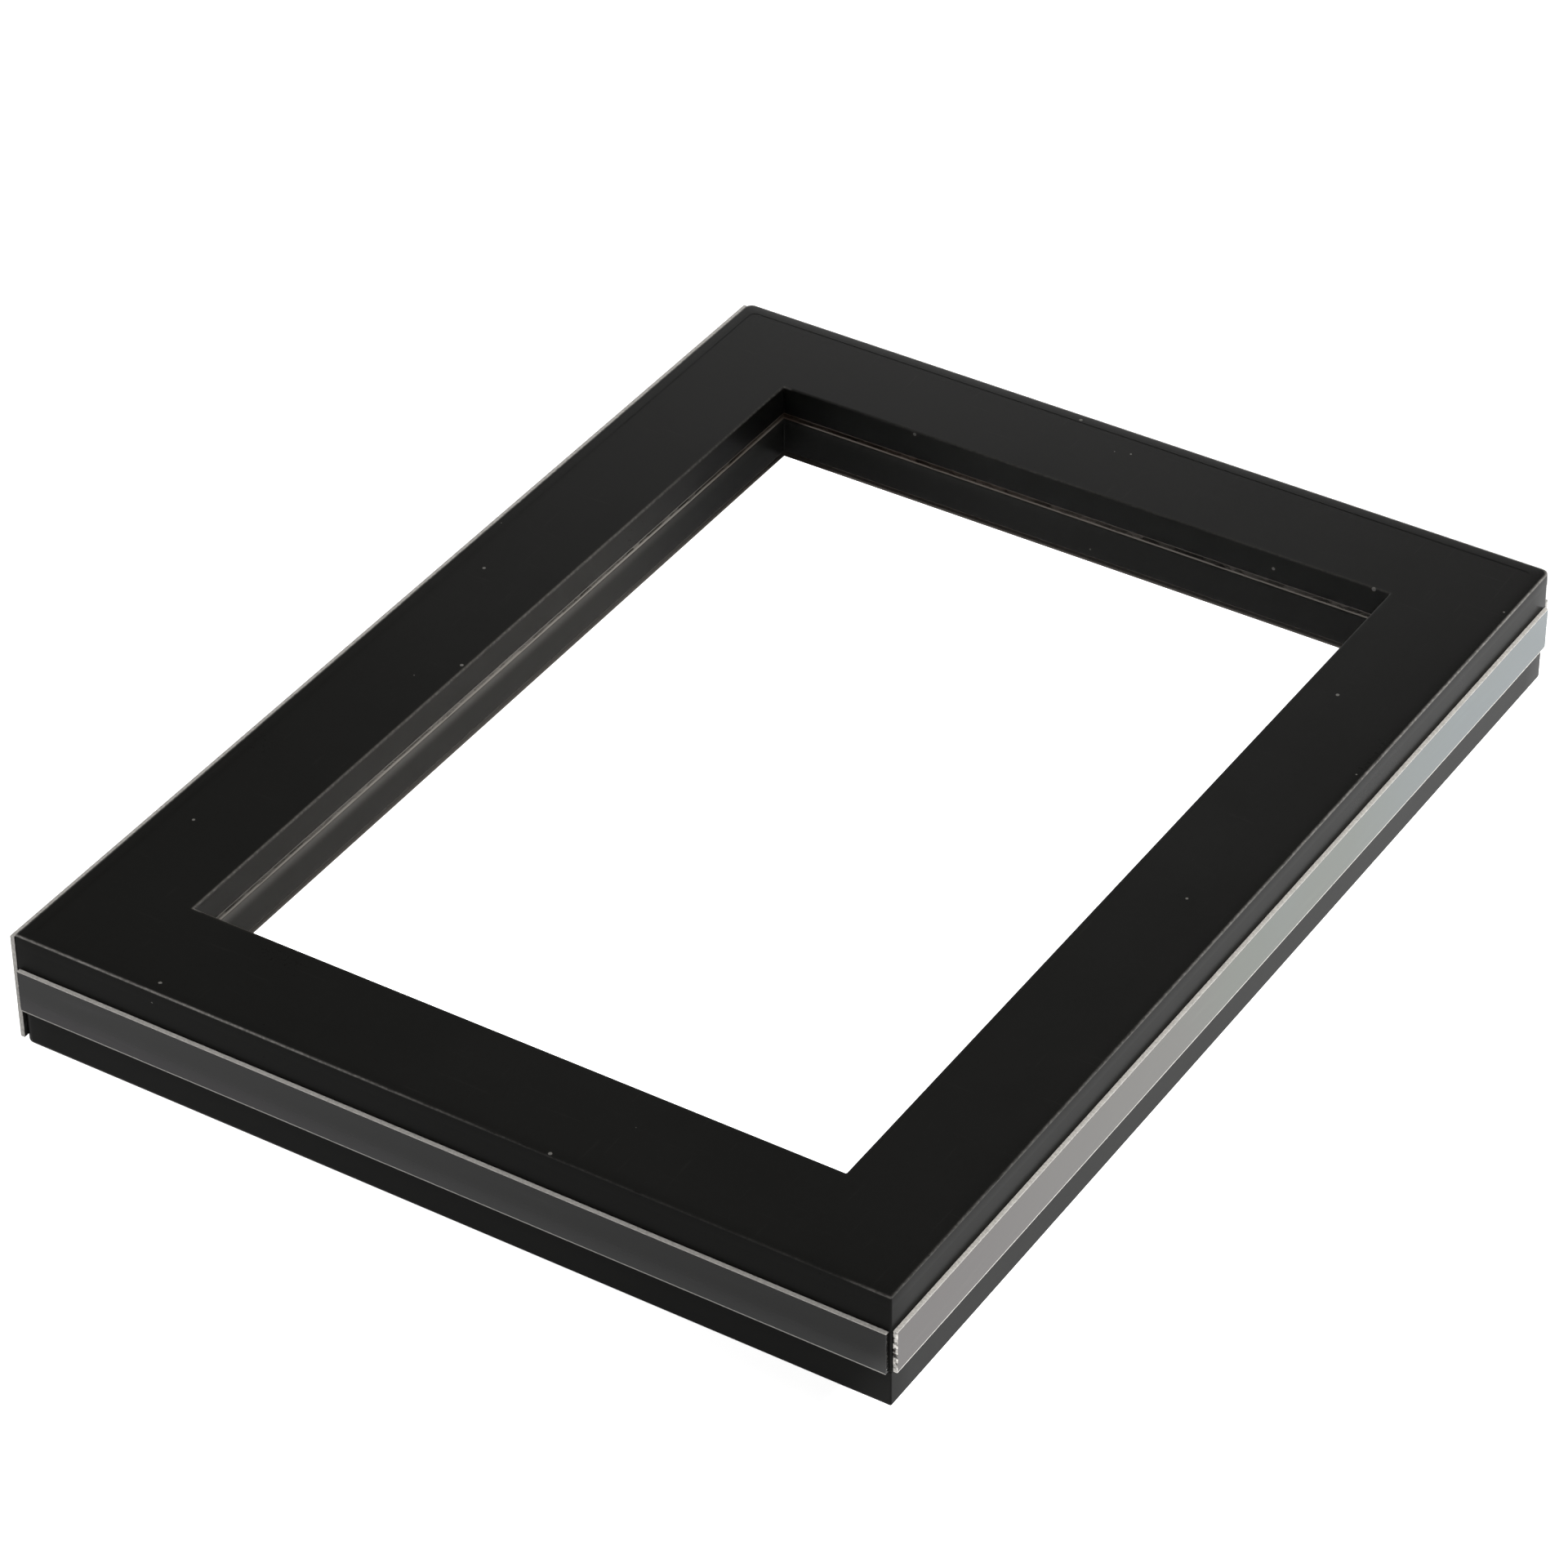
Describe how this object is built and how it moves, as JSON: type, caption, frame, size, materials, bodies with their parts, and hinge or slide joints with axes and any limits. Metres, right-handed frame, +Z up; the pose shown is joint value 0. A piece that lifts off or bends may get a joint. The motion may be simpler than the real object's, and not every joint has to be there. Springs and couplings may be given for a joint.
{
  "type": "floating frame",
  "caption": "Flat black display frame in three layers that shows a small object between two clear panes; the front layer opens like a book cover on a clear hinge and closes on magnets.",
  "frame": {"origin": "middle of the underside: the frame lies on its back with the front face up, and the clear strips on its sides count in its outline", "axes": "X along the short sides, Y along the long sides, Z up through the thickness; the hinge is on the -X side"},
  "size_m": [0.1516, 0.2014, 0.02],
  "materials": {
    "black_plastic": "satin black, edges lightly broken",
    "clear_pane": "clear, polished sheet",
    "clear_strip": "clear, glossy, with bright cut edges",
    "clear_hinge": "clear, slightly milky",
    "nickel": "nickel-plated",
    "dark_steel": "dark zinc-plated"
  },
  "bodies": {
    "base": {"core_frame": "black_plastic", "rear_frame": "black_plastic", "rear_retaining_ring": "black_plastic", "rear_pane": "clear_pane", "edge_strip_near": "clear_strip", "edge_strip_far": "clear_strip", "edge_strip_right": "clear_strip", "rear_hinge_leaf": "clear_hinge", "rear_screw_1": "dark_steel", "rear_screw_2": "dark_steel", "rear_screw_3": "dark_steel", "rear_screw_4": "dark_steel", "rear_screw_5": "dark_steel", "rear_screw_6": "dark_steel", "rear_screw_7": "dark_steel", "rear_screw_8": "dark_steel", "rear_screw_9": "dark_steel", "rear_screw_10": "dark_steel", "core_magnet_near_left": "nickel", "core_magnet_near_right": "nickel", "core_magnet_far_left": "nickel", "core_magnet_far_right": "nickel"},
    "front": {"front_frame": "black_plastic", "front_pane": "clear_pane", "front_hinge_leaf": "clear_hinge", "front_magnet_near_left": "nickel", "front_magnet_near_right": "nickel", "front_magnet_far_left": "nickel", "front_magnet_far_right": "nickel"}
  },
  "joints": [
    {"name": "front_opening", "type": "hinge", "parent": "base", "child": "front", "pos_m": [-0.07575, 0, 0.01375], "axis": [0, -1, 0], "range_deg": [0, 180]}
  ]
}
